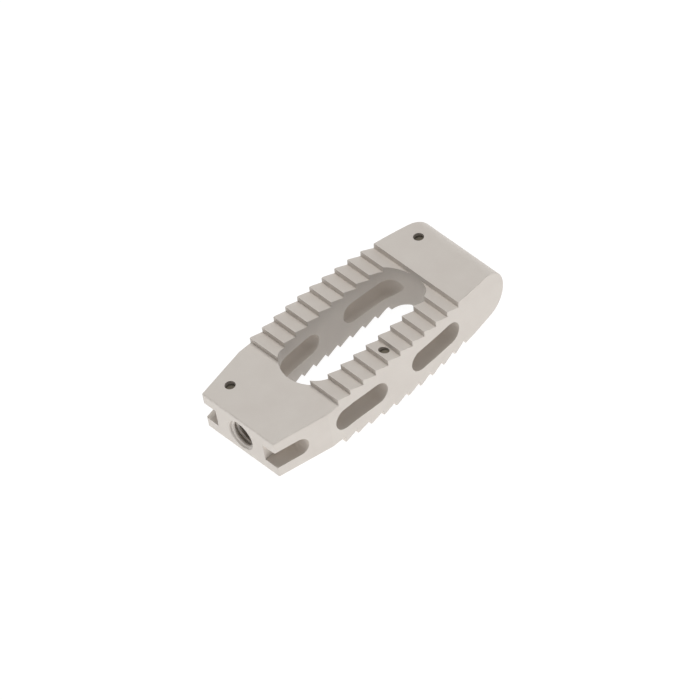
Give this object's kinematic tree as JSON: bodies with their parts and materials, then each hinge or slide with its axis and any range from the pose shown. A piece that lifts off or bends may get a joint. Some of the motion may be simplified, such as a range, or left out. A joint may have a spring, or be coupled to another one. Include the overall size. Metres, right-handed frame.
{
  "type": "spinal interbody cage",
  "caption": "Lateral spinal interbody cage with saw-toothed crowned faces, a graft window, slotted rails, a bullet nose and a threaded inserter end.",
  "frame": {"origin": "centre of the cage's bounding box", "axes": "+X towards the leading end with the bullet nose, +Z towards the upper vertebra, +Y to the left seen from the trailing end"},
  "size_m": [0.042, 0.018, 0.009],
  "materials": {
    "peek": "machined PEEK, light grey-beige, satin matte",
    "tantalum": "turned tantalum, dark grey"
  },
  "bodies": {
    "root": {"cage": "peek", "marker_pin_trailing": "tantalum", "marker_pin_leading": "tantalum", "marker_pin_middle": "tantalum"}
  },
  "joints": []
}
